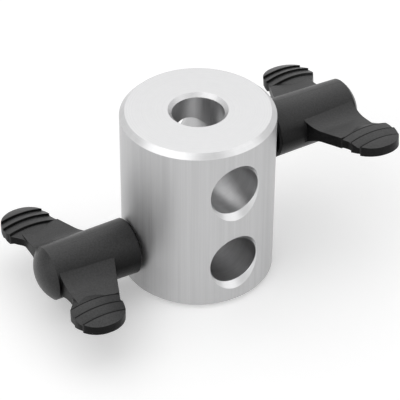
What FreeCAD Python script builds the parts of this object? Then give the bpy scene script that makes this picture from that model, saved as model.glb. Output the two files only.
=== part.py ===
import FreeCAD, Part
import os
import re

import Sketcher

# Tube connector.
# A drawn aluminium bar is turned, faced and cross-drilled to hold round tubes. Two wing screws clamp them.
# The frame: origin at the centre of the base, +Z up the bar's axis, both cross bores along Y,
# the upper wing screw out along +X and the lower one out along -X. Millimetres throughout.

DOCUMENT = FreeCAD.newDocument("tube_connector")

# Driving sizes, in millimetres, and in degrees where the note says so
SIZES = [
    ("body_diameter", 36, "drawn bar"),
    ("body_height", 44, "faced length of the bar"),
    ("edge_chamfer", 1.2, "turned on the outer edge of both ends"),
    ("tube_diameter", 12, "tube that each bore takes"),
    ("bore_clearance", 0.05, "bore wall to tube, each side"),
    ("bore_spacing", 20, "upper cross bore to lower cross bore"),
    ("upper_bore_depth", 12.2, "top face to the upper cross bore's axis"),
    ("countersink_depth", 1.4, "45 degree mouth of a cross bore, where the bar bulges most"),
    ("axial_bore_depth", 16, "top face to the end of the bore in it, without the drill's point"),
    ("axial_chamfer", 0.9, "rim of the bore in the top face"),
    ("drill_point_angle", 118, "degrees, the cone that ends the bore in the top face"),
    ("thread_diameter", 6, "outside of the studs' thread"),
    ("thread_clearance", 0.05, "stud to clamping hole, each side"),
    ("clamp_countersink", 0.6, "45 degree mouth of a clamping hole"),
    ("hub_gap", 0.3, "bar to the face of a grip's hub"),
    ("tip_clearance", 0.05, "stud tip to the wall of its cross bore"),
    ("tip_chamfer", 0.8, "end of a stud's thread"),
    ("stud_neck", 7, "hub face to the stud's buried collar"),
    ("collar_diameter", 9, "buried collar that the grip is moulded round"),
    ("collar_length", 4, "buried collar"),
    ("collar_clearance", 0.05, "stud to grip, on every side"),
    ("hub_diameter", 13.5, "round middle of a grip, at its face"),
    ("hub_end_diameter", 12.75, "round middle of a grip, at its domed end"),
    ("hub_length", 21.3, "hub face to the foot of its domed end"),
    ("dome_height", 2.6, "domed end"),
    ("hub_rim_chamfer", 0.5, "rim of the hub face"),
    ("wing_reach", 24.3, "screw axis to the end of a wing"),
    ("root_width", 14.3, "wing's root, along the screw from the foot of the dome"),
    ("root_reach", 6, "screw axis to the root's outer corners"),
    ("root_radius", 8, "hollow that runs from the hub down to the wing"),
    ("root_sink", 0.05, "how far that hollow's upper end runs inside the hub, so that the two cross cleanly"),
    ("neck_thickness", 2.7, "wing between hub and pad"),
    ("neck_inset", 0.6, "far edge of the neck, in from the foot of the dome"),
    ("neck_end_length", 11.8, "wing end back to where the far edge starts to flare"),
    ("flare_length", 8.3, "wing end back to where the far edge has flared out"),
    ("flare_rounding", 3.5, "soft corners of the flare"),
    ("pad_width", 12, "thumb pad, along the screw"),
    ("pad_overhang", 2.35, "far edge of the pad beyond the foot of the dome"),
    ("pad_thickness", 4.7, "thumb pad at its crown"),
    ("pad_length", 6.7, "wing end back to where the sloping near edge meets the pad"),
    ("pad_blank_length", 13.4, "wing end back to the pad's inner end, buried in the neck"),
    ("pad_rounding", 5.6, "the two corners at the wing's end"),
    ("crown_length", 6.8, "wing end back to the crown of the pad"),
    ("crown_radius", 19, "pad's curve out along the wing"),
    ("barrel_radius", 19, "pad's curve across the wing"),
    ("rib_length", 8.6, "wing end back to the first rib's step"),
    ("rib_pitch", 2.8, "step to step"),
    ("rib_depth", 0.45, "height of a step"),
    ("ramp_length", 2.4, "slope that rises from the neck to the first step"),
    ("upper_wing_tilt", 7.6, "degrees, how far the upper wings stand off the level"),
    ("lower_wing_tilt", 0.9, "degrees, the same for the lower wings"),
]

sheet = DOCUMENT.addObject("Spreadsheet::Sheet", "Sizes")
for row, (alias, number, note) in enumerate(SIZES, start=1):
    sheet.set("A%d" % row, note)
    sheet.set("B%d" % row, str(number))
    sheet.setAlias("B%d" % row, alias)
DOCUMENT.recompute()

ALIASES = [alias for alias, number, note in SIZES]

# Places that several pieces share, as formulas of the driving sizes
BODY_RADIUS = "(body_diameter / 2)"
BORE_RADIUS = "(tube_diameter / 2 + bore_clearance)"
UPPER_HEIGHT = "(body_height - upper_bore_depth)"
LOWER_HEIGHT = "(body_height - upper_bore_depth - bore_spacing)"
STUD_RADIUS = "(thread_diameter / 2)"
HUB_RADIUS = "(hub_diameter / 2)"
STUD_TIP = "-(body_diameter / 2 + hub_gap - tube_diameter / 2 - bore_clearance - tip_clearance)"


def formula(text):
    """Point each size's name in the text at its cell in the sheet."""
    return re.sub("[a-z_]+", lambda word: "Sizes." * (word[0] in ALIASES) + word[0], text)


def value(text):
    """Work a formula out as a number, in millimetres or degrees."""
    result = sheet.evalExpression(formula(text))
    return float(getattr(result, "Value", result))


def bind(feature, name, text):
    """Tie one property of a feature to the sizes."""
    feature.setExpression(name, formula(text))


def new_body(label):
    """An empty body for one sub-part."""
    body = DOCUMENT.addObject("PartDesign::Body", label)
    body.Label = label
    return body


def plane(body, role):
    """One of the body's own origin planes."""
    return [item for item in body.Origin.OriginFeatures if item.Role == role][0]


def new_sketch(body, name, role, across="0", up="0", out="0"):
    """A sketch on one of the body's own planes, shifted across, up and out of that plane."""
    sketch = body.newObject("Sketcher::SketchObject", name)
    sketch.AttachmentSupport = (plane(body, role), [""])
    sketch.MapMode = "FlatFace"
    bind(sketch, "AttachmentOffset.Base.x", across)
    bind(sketch, "AttachmentOffset.Base.y", up)
    bind(sketch, "AttachmentOffset.Base.z", out)
    return sketch


def arc_between(start, end, radius):
    """The shorter arc from start to end: its centre lies left of that line, or right if radius is negative."""
    chord = end - start
    rise = max(radius * radius - chord.Length * chord.Length / 4, 0) ** 0.5
    left = FreeCAD.Vector(-chord.y, chord.x, 0).normalize()
    side = 1 if radius > 0 else -1
    centre = (start + end) / 2 + left * rise * side
    first, last = (start, end) if side > 0 else (end, start)
    begin = FreeCAD.Vector(1, 0, 0).getAngle(first - centre)
    begin = begin if (first - centre).y >= 0 else -begin
    finish = FreeCAD.Vector(1, 0, 0).getAngle(last - centre)
    finish = finish if (last - centre).y >= 0 else -finish
    circle = Part.Circle(centre, FreeCAD.Vector(0, 0, 1), abs(radius))
    return Part.ArcOfCircle(circle, begin, finish)


def outline(sketch, corners):
    """Draw a closed outline. A corner is its distance across and up, each a formula of the sizes,
    and a third formula makes the way to the next corner an arc of that radius."""
    count = len(corners)
    places = [FreeCAD.Vector(value(corner[0]), value(corner[1]), 0) for corner in corners]
    starts = []
    ends = []
    for index, corner in enumerate(corners):
        here = places[index]
        there = places[(index + 1) % count]
        if len(corner) == 3:
            radius = value(corner[2])
            edge = sketch.addGeometry(arc_between(here, there, radius), False)
            turned = radius < 0
            bound = sketch.addConstraint(Sketcher.Constraint("Radius", edge, abs(radius)))
            bind(sketch, "Constraints[%d]" % bound, "abs(" + corner[2] + ")")
        else:
            edge = sketch.addGeometry(Part.LineSegment(here, there), False)
            turned = False
        starts.append((edge, 2 if turned else 1))
        ends.append((edge, 1 if turned else 2))
    for index, corner in enumerate(corners):
        following = starts[(index + 1) % count]
        sketch.addConstraint(Sketcher.Constraint("Coincident", *ends[index], *following))
        for kind, axis, text, number in (("DistanceX", -2, corner[0], places[index].x),
                                         ("DistanceY", -1, corner[1], places[index].y)):
            if text == "0":
                sketch.addConstraint(Sketcher.Constraint("PointOnObject", *starts[index], axis))
            else:
                bound = sketch.addConstraint(Sketcher.Constraint(kind, *starts[index], number))
                bind(sketch, "Constraints[%d]" % bound, text)
    DOCUMENT.recompute()


def turned(body, kind, name, sketch, axis):
    """A full turn of a sketch about one of its own axes: Revolution adds, Groove cuts."""
    feature = body.newObject("PartDesign::" + kind, name)
    feature.Profile = sketch
    feature.ReferenceAxis = (sketch, [axis])
    feature.Angle = 360
    DOCUMENT.recompute()
    return feature


def cut_through(body, name, sketch):
    """Cut the sketch's outline right through the body, both ways."""
    feature = body.newObject("PartDesign::Pocket", name)
    feature.Profile = sketch
    feature.Type = "ThroughAll"
    feature.SideType = "Symmetric"
    DOCUMENT.recompute()
    return feature


def rounded(body, name, edges, radius):
    """Round the named edges of the body's last feature."""
    before = body.Tip
    feature = body.newObject("PartDesign::Fillet", name)
    feature.Base = (before, edges)
    bind(feature, "Radius", radius)
    DOCUMENT.recompute()
    return feature


def edges_where(body, wanted):
    """Names of the edges of the body's last feature that pass the test."""
    edges = enumerate(body.Tip.Shape.Edges, start=1)
    return ["Edge%d" % number for number, edge in edges if wanted(edge)]


def edge_middle(edge):
    """The point halfway along an edge."""
    return edge.valueAt((edge.FirstParameter + edge.LastParameter) / 2)


# Connector body
def make_connector_body():
    body = new_body("connector_body")

    bar = new_sketch(body, "bar_outline", "XZ_Plane")
    outline(bar, [
        ("0", "0"),
        (BODY_RADIUS + " - edge_chamfer", "0"),
        (BODY_RADIUS, "edge_chamfer"),
        (BODY_RADIUS, "body_height - edge_chamfer"),
        (BODY_RADIUS + " - edge_chamfer", "body_height"),
        ("0", "body_height"),
    ])
    turned(body, "Revolution", "turned_bar", bar, "V_Axis")

    # The bore in the top face runs past the axis of the upper cross bore, so that the upper screw can clamp
    # the end of a tube in it, and it ends in the drill's point
    axial = new_sketch(body, "axial_bore_outline", "XZ_Plane")
    point = BORE_RADIUS + " / tan( drill_point_angle / 2 * 1 deg )"
    outline(axial, [
        ("0", "body_height - axial_bore_depth - " + point),
        (BORE_RADIUS, "body_height - axial_bore_depth"),
        (BORE_RADIUS, "body_height - axial_chamfer"),
        (BORE_RADIUS + " + 2 * axial_chamfer", "body_height + axial_chamfer"),
        ("0", "body_height + axial_chamfer"),
    ])
    turned(body, "Groove", "axial_bore", axial, "V_Axis")

    # One cross bore with its two flared mouths, and the same again below it
    cross = new_sketch(body, "cross_bore_outline", "YZ_Plane", up=UPPER_HEIGHT)
    flare = BODY_RADIUS + " - countersink_depth"
    flared = BORE_RADIUS + " + " + BODY_RADIUS + " + countersink_depth"
    outline(cross, [
        ("-body_diameter", "0"),
        ("body_diameter", "0"),
        ("body_diameter", flared),
        (flare, BORE_RADIUS),
        ("-( " + flare + " )", BORE_RADIUS),
        ("-body_diameter", flared),
    ])
    bore = turned(body, "Groove", "cross_bore", cross, "H_Axis")
    pair = body.newObject("PartDesign::LinearPattern", "cross_bores")
    pair.Originals = [bore]
    pair.Direction = (plane(body, "XY_Plane"), [""])
    pair.Reversed = True
    pair.Occurrences = 2
    bind(pair, "Length", "bore_spacing")
    body.Tip = pair
    DOCUMENT.recompute()

    # Threaded clamping holes, each from its cross bore out to the side that its wing screw enters
    hole = STUD_RADIUS + " + thread_clearance"
    for name, side, height in (("upper", "", UPPER_HEIGHT), ("lower", "-", LOWER_HEIGHT)):
        clamp = new_sketch(body, name + "_clamp_outline", "XZ_Plane", up=height)
        outline(clamp, [
            ("0", "0"),
            (side + "body_diameter", "0"),
            (side + "body_diameter", hole + " + clamp_countersink + " + BODY_RADIUS),
            (side + "( " + BODY_RADIUS + " - clamp_countersink )", hole),
            ("0", hole),
        ])
        turned(body, "Groove", name + "_clamp_hole", clamp, "H_Axis")
    return body


# Wing grip
# Its own frame: X out along the screw from the hub face, Y out along one wing, Z square to the wings.
def make_wing_grip(label):
    body = new_body(label)
    half_pad = "( pad_thickness / 2 )"
    half_neck = "( neck_thickness / 2 )"
    root_start = "( hub_length - root_width )"
    neck_end = "( hub_length - neck_inset )"
    pad_end = "( hub_length + pad_overhang )"
    pad_start = "( hub_length + pad_overhang - pad_width )"
    pad_middle = "( hub_length + pad_overhang - pad_width / 2 )"
    blank_reach = "( wing_reach - pad_blank_length )"
    neck_reach = "( wing_reach - neck_end_length )"
    flare_reach = "( wing_reach - flare_length )"
    pad_reach = "( wing_reach - pad_length )"
    crown_reach = "( wing_reach - crown_length )"

    # Thumb pad: its outline seen along Z, from inside the neck to the rounded end
    near_slope = "( ( " + pad_start + " - " + root_start + " ) / ( " + pad_reach + " - root_reach ) )"
    pad = new_sketch(body, "pad_outline", "XY_Plane")
    outline(pad, [
        (root_start + " + " + near_slope + " * ( " + blank_reach + " - root_reach )", blank_reach),
        (neck_end, blank_reach),
        (neck_end, neck_reach),
        (pad_end, flare_reach),
        (pad_end, "wing_reach"),
        (pad_start, "wing_reach"),
        (pad_start, pad_reach),
    ])
    blank = body.newObject("PartDesign::Pad", "pad_blank")
    blank.Profile = pad
    blank.SideType = "Symmetric"
    bind(blank, "Length", "hub_diameter")
    DOCUMENT.recompute()

    def upright(low, high):
        """A test for edges along Z whose reach lies between two formulas."""
        bottom = value(low)
        top = value(high)
        return lambda edge: (abs(edge.tangentAt(edge.FirstParameter).z) > 0.99
                             and bottom < edge_middle(edge).y < top)

    rounded(body, "pad_corners", edges_where(body, upright("wing_reach - 1", "wing_reach + 1")), "pad_rounding")
    flared = edges_where(body, upright(neck_reach + " - 0.5", flare_reach + " + 0.5"))
    rounded(body, "flare_corners", flared, "flare_rounding")

    # Crowned, ribbed faces of the pad: a profile turned about a far axis, so that they curve both ways.
    # A slope rises out of the neck to the first of three steps, and the crown runs on from the third.
    drop = "( barrel_radius - " + half_pad + " )"

    def crown_rise(reach):
        """Height of the crown at this reach, above the axis that it is turned about."""
        return (drop + " + " + half_pad + " - crown_radius + sqrt( crown_radius ^ 2 - ( "
                + reach + " - " + crown_reach + " ) ^ 2 )")

    steps = ["( wing_reach - rib_length )",
             "( wing_reach - rib_length + rib_pitch )",
             "( wing_reach - rib_length + 2 * rib_pitch )"]
    ramp_rise = "( " + crown_rise(steps[0]) + " - rib_depth - " + drop + " - " + half_neck + " )"
    inner_end = "( " + blank_reach + " - 1 )"
    outer_end = "( wing_reach + 1 )"
    sunk = ramp_rise + " * ( " + steps[0] + " - " + inner_end + " - ramp_length ) / ramp_length"
    crown = new_sketch(body, "crown_outline", "YZ_Plane", up="-" + drop, out=pad_middle)
    outline(crown, [
        (inner_end, drop + " + " + half_neck + " - " + sunk),
        (steps[0], crown_rise(steps[0]) + " - rib_depth"),
        (steps[0], crown_rise(steps[0])),
        (steps[1], crown_rise(steps[1]) + " - rib_depth"),
        (steps[1], crown_rise(steps[1])),
        (steps[2], crown_rise(steps[2]) + " - rib_depth"),
        (steps[2], crown_rise(steps[2]), "-crown_radius"),
        (outer_end, crown_rise(outer_end)),
        (outer_end, drop + " + hub_diameter"),
        (inner_end, drop + " + hub_diameter"),
    ])
    top = turned(body, "Groove", "crowned_face", crown, "H_Axis")
    both = body.newObject("PartDesign::Mirrored", "crowned_faces")
    both.Originals = [top]
    both.MirrorPlane = (plane(body, "XY_Plane"), [""])
    body.Tip = both
    DOCUMENT.recompute()

    # Web from the hub to the first rib, hollowed on both faces where it leaves the hub
    span = "( hub_end_diameter / 2 - root_sink + root_radius )"
    centre_reach = "sqrt( " + span + " ^ 2 - ( " + half_neck + " + root_radius ) ^ 2 )"
    share = "( ( hub_end_diameter / 2 - root_sink ) / " + span + " )"
    touch_reach = share + " * " + centre_reach
    touch_rise = share + " * ( " + half_neck + " + root_radius )"
    web = new_sketch(body, "web_outline", "YZ_Plane", out=root_start)
    outline(web, [
        ("0", "-( " + touch_rise + " )"),
        (touch_reach, "-( " + touch_rise + " )", "-root_radius"),
        (centre_reach, "-" + half_neck),
        (steps[0], "-" + half_neck),
        (steps[0], half_neck),
        (centre_reach, half_neck, "-root_radius"),
        (touch_reach, touch_rise),
        ("0", touch_rise),
    ])
    slab = body.newObject("PartDesign::Pad", "web")
    slab.Profile = web
    bind(slab, "Length", "root_width - neck_inset")
    DOCUMENT.recompute()

    # The web's near edge slopes from the root to the pad
    edge = new_sketch(body, "near_edge_outline", "XY_Plane")
    outline(edge, [
        ("0", "root_reach"),
        (root_start, "root_reach"),
        (pad_start, pad_reach),
        ("0", pad_reach),
    ])
    cut_through(body, "near_edge", edge)

    # The second wing mirrors the first
    wings = body.newObject("PartDesign::Mirrored", "wings")
    wings.TransformMode = "Whole shape"
    wings.MirrorPlane = (plane(body, "XZ_Plane"), [""])
    body.Tip = wings
    DOCUMENT.recompute()

    # Round hub with a chamfered rim, tapered for the mould
    hub_tip = "( hub_length + dome_height )"
    hub = new_sketch(body, "hub_outline", "XZ_Plane")
    outline(hub, [
        ("0", "0"),
        (hub_tip, "0"),
        (hub_tip, "hub_end_diameter / 2"),
        ("hub_rim_chamfer", HUB_RADIUS),
        ("0", HUB_RADIUS + " - hub_rim_chamfer"),
    ])
    turned(body, "Revolution", "hub", hub, "H_Axis")

    # Its domed end is part of a ball, cut by a turn about an upright axis through the ball's centre
    ball = "( ( hub_end_diameter ^ 2 / 4 + dome_height ^ 2 ) / ( 2 * dome_height ) )"
    shell_rise = "( hub_end_diameter * 0.53 )"
    shell_start = "sqrt( " + ball + " ^ 2 - " + shell_rise + " ^ 2 )"
    dome = new_sketch(body, "dome_outline", "XZ_Plane", across=hub_tip + " - " + ball)
    outline(dome, [
        (shell_start, "-" + shell_rise, ball),
        (shell_start, shell_rise),
        (ball + " + dome_height", shell_rise),
        (ball + " + dome_height", "-" + shell_rise),
    ])
    domed_end = turned(body, "Groove", "domed_end", dome, "V_Axis")
    domed_end.Midplane = True
    bind(domed_end, "Angle", "2 * acos( ( " + ball + " - dome_height ) / " + ball + " ) + 3 deg")
    DOCUMENT.recompute()

    # Room for the stud and its buried collar
    room = new_sketch(body, "stud_room_outline", "XZ_Plane")
    outline(room, [
        ("0", "0"),
        ("stud_neck + collar_length + collar_clearance", "0"),
        ("stud_neck + collar_length + collar_clearance", "collar_diameter / 2 + collar_clearance"),
        ("stud_neck - collar_clearance", "collar_diameter / 2 + collar_clearance"),
        ("stud_neck - collar_clearance", STUD_RADIUS + " + collar_clearance"),
        ("0", STUD_RADIUS + " + collar_clearance"),
    ])
    turned(body, "Groove", "stud_room", room, "H_Axis")
    return body


# Stud
# In the grip's frame: the thread runs back from the hub face to the cross bore, the collar is in the grip.
def make_stud(label):
    body = new_body(label)
    side = new_sketch(body, "stud_outline", "XZ_Plane")
    outline(side, [
        (STUD_TIP, "0"),
        ("stud_neck + collar_length", "0"),
        ("stud_neck + collar_length", "collar_diameter / 2"),
        ("stud_neck", "collar_diameter / 2"),
        ("stud_neck", STUD_RADIUS),
        (STUD_TIP + " + tip_chamfer", STUD_RADIUS),
        (STUD_TIP, STUD_RADIUS + " - tip_chamfer"),
    ])
    turned(body, "Revolution", "turned_stud", side, "H_Axis")
    return body


def place(body, side, height, tilt):
    """Stand a grip or stud against the bar: side 1 looks out along +X and side -1 along -X."""
    reach = value(BODY_RADIUS + " + hub_gap")
    turn = FreeCAD.Rotation(FreeCAD.Vector(0, 0, 1), 0 if side > 0 else 180)
    lean = FreeCAD.Rotation(FreeCAD.Vector(1, 0, 0), tilt)
    body.Placement = FreeCAD.Placement(FreeCAD.Vector(side * reach, 0, value(height)), lean * turn)


connector = make_connector_body()
upper_grip = make_wing_grip("upper_wing_grip")
upper_stud = make_stud("upper_stud")
lower_grip = make_wing_grip("lower_wing_grip")
lower_stud = make_stud("lower_stud")

place(upper_grip, 1, UPPER_HEIGHT, -value("upper_wing_tilt"))
place(upper_stud, 1, UPPER_HEIGHT, -value("upper_wing_tilt"))
place(lower_grip, -1, LOWER_HEIGHT, -value("lower_wing_tilt"))
place(lower_stud, -1, LOWER_HEIGHT, -value("lower_wing_tilt"))
DOCUMENT.recompute()

SUBPARTS = [connector, upper_grip, upper_stud, lower_grip, lower_stud]

for item in DOCUMENT.Objects:
    if "Invalid" in item.State or "Error" in item.State:
        raise SystemExit("%s did not build: %s" % (item.Label, item.State))
for subpart in SUBPARTS:
    shape = subpart.Shape
    if shape.isNull() or not shape.isValid() or len(shape.Solids) != 1:
        raise SystemExit("%s is not one valid solid" % subpart.Label)

os.makedirs("parts", exist_ok=True)
for subpart in SUBPARTS:
    subpart.Shape.exportStep("parts/%s.step" % subpart.Label)
    box = subpart.Shape.BoundBox
    print("%-16s %8.1f mm3  X %.2f..%.2f  Y %.2f..%.2f  Z %.2f..%.2f" % (
        subpart.Label, subpart.Shape.Volume, box.XMin, box.XMax, box.YMin, box.YMax, box.ZMin, box.ZMax))
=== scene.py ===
import math

import bmesh
import bpy
from mathutils import Matrix, Vector


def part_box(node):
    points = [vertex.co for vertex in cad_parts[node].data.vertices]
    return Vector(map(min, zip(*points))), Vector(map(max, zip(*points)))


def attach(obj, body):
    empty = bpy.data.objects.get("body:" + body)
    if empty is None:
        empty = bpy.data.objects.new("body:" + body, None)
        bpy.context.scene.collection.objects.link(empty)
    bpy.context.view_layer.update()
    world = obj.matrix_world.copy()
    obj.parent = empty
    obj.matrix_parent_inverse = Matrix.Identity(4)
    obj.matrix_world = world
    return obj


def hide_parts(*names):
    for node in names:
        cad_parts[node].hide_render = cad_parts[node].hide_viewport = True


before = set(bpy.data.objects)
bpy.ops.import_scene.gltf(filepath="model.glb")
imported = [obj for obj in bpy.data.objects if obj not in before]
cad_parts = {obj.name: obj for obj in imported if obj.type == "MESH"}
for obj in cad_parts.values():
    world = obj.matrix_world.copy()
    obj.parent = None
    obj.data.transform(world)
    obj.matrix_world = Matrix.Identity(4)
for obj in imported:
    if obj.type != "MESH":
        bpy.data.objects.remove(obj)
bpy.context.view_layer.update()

scene = bpy.context.scene
scene.view_settings.view_transform = "Standard"

# The wings stand off the level by this many degrees
WING_TILTS = {"upper": 7.6, "lower": 0.9}

# Level reach of the ribs' steps and of the hub's wall from the screw's axis, along the wings
RIB_STEPS = (0.0157, 0.0185, 0.0213)
HUB_REACH = 0.0066


# Node trees of the materials and of the world
class Graph:
    """A node tree, with a short way to add each kind of node. A source is a value or an output socket."""

    def __init__(self, owner):
        owner.use_nodes = True
        self.nodes = owner.node_tree.nodes
        self.links = owner.node_tree.links

    def feed(self, socket, source):
        """Link an output to an input socket, or set the socket to a value."""
        if isinstance(source, bpy.types.NodeSocket):
            self.links.new(source, socket)
        else:
            socket.default_value = source

    def add(self, kind, inputs, **settings):
        """Add a node with its inputs, by name or number, and its other settings."""
        item = self.nodes.new(kind)
        for name, setting in settings.items():
            setattr(item, name, setting)
        for key, source in inputs.items():
            self.feed(item.inputs[key], source)
        return item

    def math(self, operation, first, *others):
        """A Math operation on one source, or on several from left to right."""
        if not others:
            return self.add("ShaderNodeMath", {0: first}, operation=operation).outputs[0]
        for other in others:
            first = self.add("ShaderNodeMath", {0: first, 1: other}, operation=operation).outputs[0]
        return first

    def parts(self, vector):
        """The X, Y and Z of a vector."""
        return self.add("ShaderNodeSeparateXYZ", {0: vector}).outputs

    def choose(self, mask, without, with_it):
        """One of two sources by a mask of 0 or 1."""
        return self.add("ShaderNodeMix", {"Factor": mask, 2: without, 3: with_it}).outputs[0]

    def ramp(self, source, start, end, low, high):
        """Map the range from start to end onto low to high, and hold the ends beyond it."""
        inputs = {"Value": source, "From Min": start, "From Max": end, "To Min": low, "To Max": high}
        return self.add("ShaderNodeMapRange", inputs).outputs["Result"]

    def spread(self, grain, low, high):
        """Map 0.3 to 0.7, the useful range of a noise, onto low to high."""
        return self.ramp(grain, 0.3, 0.7, low, high)

    def noise(self, vector, detail, roughness=0.55):
        inputs = {"Vector": vector, "Scale": 1.0, "Detail": detail, "Roughness": roughness}
        return self.add("ShaderNodeTexNoise", inputs).outputs["Fac"]

    def grains(self, density, detail, roughness=0.55):
        """Noise that stays with the object, with this many grains to the metre along each axis."""
        place = self.nodes.new("ShaderNodeTexCoord")
        stretched = self.add("ShaderNodeMapping", {"Vector": place.outputs["Object"], "Scale": density})
        return self.noise(stretched.outputs["Vector"], detail, roughness)

    def tinted(self, level, red, green, blue):
        """A colour whose channels are one level times a gain each."""
        channels = [self.math("MULTIPLY", level, gain) for gain in (red, green, blue)]
        return self.add("ShaderNodeCombineColor", dict(enumerate(channels))).outputs[0]

    def relief(self, grain, strength, depth, edge):
        """A normal with softened edges and a grain's relief."""
        soften = self.add("ShaderNodeBevel", {"Radius": edge}, samples=8)
        soft_normal = soften.outputs["Normal"]
        inputs = {"Strength": strength, "Distance": depth, "Height": grain, "Normal": soft_normal}
        return self.add("ShaderNodeBump", inputs).outputs["Normal"]

    def shade(self, distance, power):
        """1 where a surface is open, and less where it meets another within the distance."""
        hidden = self.add("ShaderNodeAmbientOcclusion", {"Distance": distance}, samples=6)
        return self.math("POWER", hidden.outputs["AO"], power)

    def seen(self):
        """1 for what the camera sees, straight or by reflection, and 0 for the light on surfaces."""
        path = self.nodes.new("ShaderNodeLightPath")
        rays = [path.outputs[name] for name in ("Is Camera Ray", "Is Glossy Ray", "Is Transmission Ray")]
        return self.math("MAXIMUM", *rays)


def new_material(name):
    """A node material with a bare Principled shader. Returns the material, its graph and the shader."""
    material = bpy.data.materials.new(name)
    graph = Graph(material)
    return material, graph, graph.nodes["Principled BSDF"]


# Aluminium bar: drawn along its length on its side, turned on its ends and chamfers, and reamed in its bores
def make_aluminium():
    material, graph, shader = new_material("drawn_aluminium")
    shader.inputs["Metallic"].default_value = 1.0
    low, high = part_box("connector_body")
    past_chamfer = 0.0015
    foot_depth = 0.0005
    bore_mouth_radius = 0.0062
    level_normal = 0.9
    straight_out = 0.93

    place = graph.nodes.new("ShaderNodeTexCoord")
    x, y, z = graph.parts(place.outputs["Object"])
    radius = graph.math("SQRT", graph.math("ADD", graph.math("MULTIPLY", x, x), graph.math("MULTIPLY", y, y)))
    outer = graph.math("GREATER_THAN", radius, high.x - past_chamfer)

    # End faces: level, at the foot or the top of the bar and outside the top bore
    flat = graph.parts(graph.nodes.new("ShaderNodeNewGeometry").outputs["True Normal"])
    level_face = graph.math("GREATER_THAN", graph.math("ABSOLUTE", flat["Z"]), level_normal)
    past_bore = graph.math("GREATER_THAN", radius, bore_mouth_radius)
    foot = graph.math("LESS_THAN", z, low.z + foot_depth)
    top = graph.math("GREATER_THAN", z, high.z - past_chamfer)
    end_face = graph.math("MULTIPLY", graph.math("MAXIMUM", foot, top), level_face, past_bore)

    # Chamfers and countersinks: where the outside doesn't look straight away from the bar's axis
    normal = graph.parts(place.outputs["Normal"])
    outward_x = graph.math("MULTIPLY", normal["X"], x)
    outward_y = graph.math("MULTIPLY", normal["Y"], y)
    outward = graph.math("DIVIDE", graph.math("ADD", outward_x, outward_y), radius)
    cut = graph.math("LESS_THAN", outward, straight_out)

    def by_finish(reamed, drawn, turned, faced):
        """One of four sources: for the bores, the side, the chamfers and countersinks, and the end faces."""
        return graph.choose(end_face, graph.choose(outer, reamed, graph.choose(cut, drawn, turned)), faced)

    drawn_grain = graph.grains((4200, 4200, 30), detail=5.0, roughness=0.6)
    reamed_grain = graph.grains((90, 3800, 90), detail=4.0, roughness=0.6)
    rings_per_metre = 3600.0
    ring_place = graph.add("ShaderNodeCombineXYZ", {"X": graph.math("MULTIPLY", radius, rings_per_metre)})
    rings = graph.noise(ring_place.outputs[0], detail=4.0, roughness=0.6)
    grain = by_finish(reamed=reamed_grain, drawn=drawn_grain, turned=rings, faced=rings)

    broad = graph.spread(graph.grains((620, 620, 9), detail=3.0), -0.022, 0.022)
    broad = graph.math("MULTIPLY", broad, graph.choose(end_face, 1.0, 0.25))
    tone = by_finish(reamed=0.53, drawn=0.53, turned=0.57, faced=0.55)
    level = graph.math("ADD", graph.spread(grain, -0.034, 0.034), broad, tone)
    graph.feed(shader.inputs["Base Color"], graph.tinted(level, red=1.0, green=1.0, blue=1.008))
    rough = by_finish(reamed=0.40, drawn=0.50, turned=0.30, faced=0.38)
    graph.feed(shader.inputs["Roughness"], graph.math("ADD", graph.spread(grain, -0.07, 0.07), rough))
    graph.feed(shader.inputs["Normal"], graph.relief(grain, strength=0.10, depth=0.00004, edge=0.00018))
    return material


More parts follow.
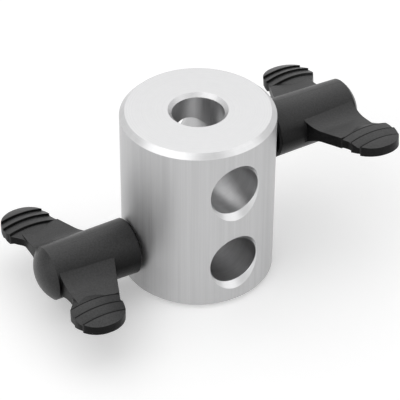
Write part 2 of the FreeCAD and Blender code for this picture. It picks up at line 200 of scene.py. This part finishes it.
# Black glass-filled plastic with a fine matt grain. Painted shade darkens its colour and gloss in its corners
# and hollows, and a painted shade line runs along the step of each rib. Painted light makes its level faces,
# the hub's dome and the ribs' risers lighter and glossier than its upright faces.
def make_plastic(name, height, tilt):
    material, graph, shader = new_material(name)
    step_shade_past_step = 0.00006
    step_shade_core = 0.00010
    step_shade_reach = 0.00030
    step_shade_strength = 0.8
    level_normal = 0.6
    least_painted_light = 0.25
    more_painted_light = 0.85

    place = graph.nodes.new("ShaderNodeTexCoord")
    own = graph.parts(place.outputs["Object"])
    rise = graph.math("SUBTRACT", own["Z"], height)
    along = graph.math("MULTIPLY", own["Y"], math.cos(math.radians(tilt)))
    across = graph.math("MULTIPLY", rise, math.sin(math.radians(tilt)))
    reach = graph.math("ABSOLUTE", graph.math("SUBTRACT", along, across))
    normal = graph.parts(place.outputs["Normal"])
    facing_x, facing_y, facing_z = [graph.math("ABSOLUTE", part) for part in normal]

    near_steps = []
    for step in RIB_STEPS:
        off = graph.math("ABSOLUTE", graph.math("SUBTRACT", reach, step + step_shade_past_step))
        near_steps.append(graph.ramp(off, step_shade_core, step_shade_reach, 1.0, 0.0))
    near_step = graph.math("MAXIMUM", *near_steps)
    # Painted shade: a dark line on the level faces just past each rib's step, where the step's foot lies in
    # shade
    step_shade_line = graph.math("MULTIPLY", near_step, graph.math("GREATER_THAN", facing_z, level_normal))
    clear = graph.math("SUBTRACT", 1.0, graph.math("MULTIPLY", step_shade_line, step_shade_strength))

    # Painted light: level faces, the hub's dome and the ribs' risers are painted lighter and glossier,
    # upright faces darker
    riser = graph.math("MULTIPLY", near_step, facing_y)
    dome = graph.math("MULTIPLY", graph.math("LESS_THAN", reach, HUB_REACH), facing_x)
    lit_face = graph.math("MAXIMUM", riser, dome, facing_z)
    painted_facing_light = graph.math("ADD", least_painted_light, graph.math("MULTIPLY", more_painted_light, lit_face))
    # Painted shade in corners and hollows: darker where other surfaces are near
    corners = graph.shade(distance=0.0012, power=0.35)
    hollows = graph.shade(distance=0.0100, power=0.7)
    shade = graph.math("MULTIPLY", corners, hollows)
    # depth holds all the painted light and shade together; it scales both the colour and the gloss
    depth = graph.math("MULTIPLY", clear, graph.math("MULTIPLY", shade, painted_facing_light))

    fine = graph.grains((2600, 2600, 2600), detail=3.0)
    broad = graph.grains((260, 260, 260), detail=4.0)
    level = graph.math("ADD", graph.spread(fine, 0.002, 0.018), graph.spread(broad, -0.001, 0.003))
    level = graph.math("MULTIPLY", level, depth)
    graph.feed(shader.inputs["Base Color"], graph.tinted(level, red=1.0, green=1.0, blue=1.03))
    graph.feed(shader.inputs["Roughness"], graph.spread(broad, 0.33, 0.41))
    graph.feed(shader.inputs["Specular IOR Level"], graph.math("MULTIPLY", depth, 0.42))
    graph.feed(shader.inputs["Normal"], graph.relief(fine, strength=0.9, depth=0.00005, edge=0.00014))
    return material


# Plated steel of the studs
def make_steel():
    material, graph, shader = new_material("plated_steel")
    shader.inputs["Metallic"].default_value = 1.0
    mottled = graph.grains((900, 900, 900), detail=4.0)
    level = graph.spread(mottled, 0.52, 0.62)
    graph.feed(shader.inputs["Base Color"], graph.tinted(level, red=1.0, green=0.995, blue=0.98))
    graph.feed(shader.inputs["Roughness"], graph.spread(mottled, 0.24, 0.38))
    return material


def dress(name, material):
    """Give a CAD node its finish."""
    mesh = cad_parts[name].data
    mesh.materials.clear()
    mesh.materials.append(material)


# M6 thread of the studs: straight flanks between flat crests and roots. Half a crest and a flank's length are
# given as parts of the pitch.
THREAD_RADIUS = 0.003
THREAD_DEPTH = 0.00061
THREAD_PITCH = 0.001
HALF_CREST = 1 / 16
FLANK = 5 / 16


def thread_radius(place, turn):
    """Radius of the right-hand thread at a place along the X axis, after part of a turn."""
    phase = abs((place / THREAD_PITCH - turn + 0.5) % 1.0 - 0.5)
    return THREAD_RADIUS - THREAD_DEPTH * min(max((phase - HALF_CREST) / FLANK, 0.0), 1.0)


def stud_rings(side, tip, back, collar_radius, segments):
    """Rings of the stud from its tip to its back, each a reach from the bar's axis and the radii round it."""
    collar_length = 0.004
    collar_edge = 0.00015
    tip_chamfer = 0.0008
    rings_per_pitch = 20
    collar_start = back - collar_length
    steps = int(round((collar_start - tip) / THREAD_PITCH * rings_per_pitch))
    rings = []
    for index in range(steps + 1):
        reach = tip + (collar_start - tip) * index / steps
        limit = THREAD_RADIUS - tip_chamfer + reach - tip
        radii = [min(thread_radius(side * reach, k / segments), limit) for k in range(segments)]
        rings.append((reach, radii))
    for reach, radius in ((collar_start, collar_radius - collar_edge),
                          (collar_start + collar_edge, collar_radius),
                          (back - collar_edge, collar_radius),
                          (back, collar_radius - collar_edge)):
        rings.append((reach, [radius] * segments))
    return rings


# Studs: the thread in place of the plain cylinder, and the collar buried in the grip
def make_threaded_stud(name):
    segments = 48
    low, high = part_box(name)
    side = 1 if high.x > 0 else -1
    tip = min(abs(low.x), abs(high.x))
    back = max(abs(low.x), abs(high.x))
    height = (low.z + high.z) / 2
    collar_radius = (high.z - low.z) / 2

    mesh = bmesh.new()
    loops = []
    for reach, radii in stud_rings(side, tip, back, collar_radius, segments):
        loop = []
        for k, radius in enumerate(radii):
            angle = math.tau * k / segments
            place = (side * reach, radius * math.cos(angle), height + radius * math.sin(angle))
            loop.append(mesh.verts.new(place))
        loops.append(loop)
    for first, second in zip(loops, loops[1:]):
        for k in range(segments):
            after = (k + 1) % segments
            mesh.faces.new((first[k], first[after], second[after], second[k]))
    mesh.faces.new(loops[0])
    mesh.faces.new(loops[-1])
    bmesh.ops.recalc_face_normals(mesh, faces=mesh.faces)
    data = bpy.data.meshes.new(name + "_threaded")
    mesh.to_mesh(data)
    mesh.free()
    for face in data.polygons:
        face.use_smooth = len(face.vertices) == 4
    stud = bpy.data.objects.new(name + "_threaded", data)
    scene.collection.objects.link(stud)
    data.materials.append(steel)
    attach(stud, name.replace("stud", "screw"))
    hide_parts(name)


aluminium = make_aluminium()
steel = make_steel()
dress("connector_body", aluminium)
for side, tilt in WING_TILTS.items():
    low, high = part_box(side + "_wing_grip")
    dress(side + "_wing_grip", make_plastic(side + "_grained_plastic", (low.z + high.z) / 2, tilt))
    make_threaded_stud(side + "_stud")


# Floor: white to the camera and to reflections, and it keeps the object's shadow
def make_floor():
    half = 1.6
    corners = [(-half, -half, 0), (half, -half, 0), (half, half, 0), (-half, half, 0)]
    mesh = bpy.data.meshes.new("floor")
    mesh.from_pydata(corners, [], [(0, 1, 2, 3)])
    floor = bpy.data.objects.new("floor", mesh)
    scene.collection.objects.link(floor)
    material, graph, shader = new_material("pale_floor")
    shader.inputs["Base Color"].default_value = (0.93, 0.93, 0.93, 1)
    shader.inputs["Roughness"].default_value = 0.9
    shader.inputs["Specular IOR Level"].default_value = 0.0
    white = graph.add("ShaderNodeEmission", {"Strength": 0.22})
    both = graph.add("ShaderNodeAddShader", {0: shader.outputs[0], 1: white.outputs[0]})
    pick = graph.add("ShaderNodeMixShader", {0: graph.seen(), 1: shader.outputs[0], 2: both.outputs[0]})
    graph.feed(graph.nodes["Material Output"].inputs["Surface"], pick.outputs[0])
    mesh.materials.append(material)


# Background: white to the camera and to reflections, and a dim even light to all else
def make_world():
    world = bpy.data.worlds.new("studio")
    scene.world = world
    graph = Graph(world)
    room = graph.nodes["Background"]
    room.inputs["Color"].default_value = (1, 1, 1, 1)
    room.inputs["Strength"].default_value = 0.44
    white = graph.add("ShaderNodeBackground", {"Color": (1, 1, 1, 1), "Strength": 1.0})
    pick = graph.add("ShaderNodeMixShader", {0: graph.seen(), 1: room.outputs[0], 2: white.outputs[0]})
    graph.feed(graph.nodes["World Output"].inputs["Surface"], pick.outputs[0])


def add_softbox(name, place, size, power):
    """A square area lamp that looks at the object's middle."""
    middle = Vector((0, 0, 0.022))
    lamp = bpy.data.lights.new(name, "AREA")
    lamp.shape = "SQUARE"
    lamp.size = size
    lamp.energy = power
    item = bpy.data.objects.new(name, lamp)
    item.location = place
    item.rotation_euler = (middle - Vector(place)).to_track_quat("-Z", "Y").to_euler()
    scene.collection.objects.link(item)


def add_camera():
    """The photograph's view: 37 degrees above the level, 30 degrees round from the cross bores' axis."""
    rise = math.radians(37.257)
    turn = math.radians(29.994)
    roll = 0.00598
    distance = 0.44231
    aim = Vector((0, 0, 0.022435))
    level = Vector((math.cos(turn), -math.sin(turn), 0))
    ahead = Vector((math.sin(turn) * math.cos(rise), math.cos(turn) * math.cos(rise), -math.sin(rise)))
    upward = level.cross(ahead)
    right = math.cos(roll) * level + math.sin(roll) * upward
    upward = math.cos(roll) * upward - math.sin(roll) * level
    turned = Matrix((right, upward, -ahead)).transposed().to_4x4()
    camera = bpy.data.objects.new("camera", bpy.data.cameras.new("camera"))
    camera.data.sensor_width = 36
    camera.data.lens = 170.36
    camera.data.shift_x = 0.00567
    camera.data.shift_y = -0.03766
    camera.data.clip_start = 0.01
    camera.matrix_world = Matrix.Translation(aim - ahead * distance) @ turned
    scene.collection.objects.link(camera)
    scene.camera = camera


make_floor()
make_world()
add_softbox("overhead", place=(0.05, 0.25, 0.75), size=1.2, power=3.0)
add_softbox("left", place=(-0.85, -0.2, 0.6), size=1.2, power=3.9)
add_softbox("right", place=(0.6, -0.6, 0.6), size=0.8, power=1.1)
add_camera()
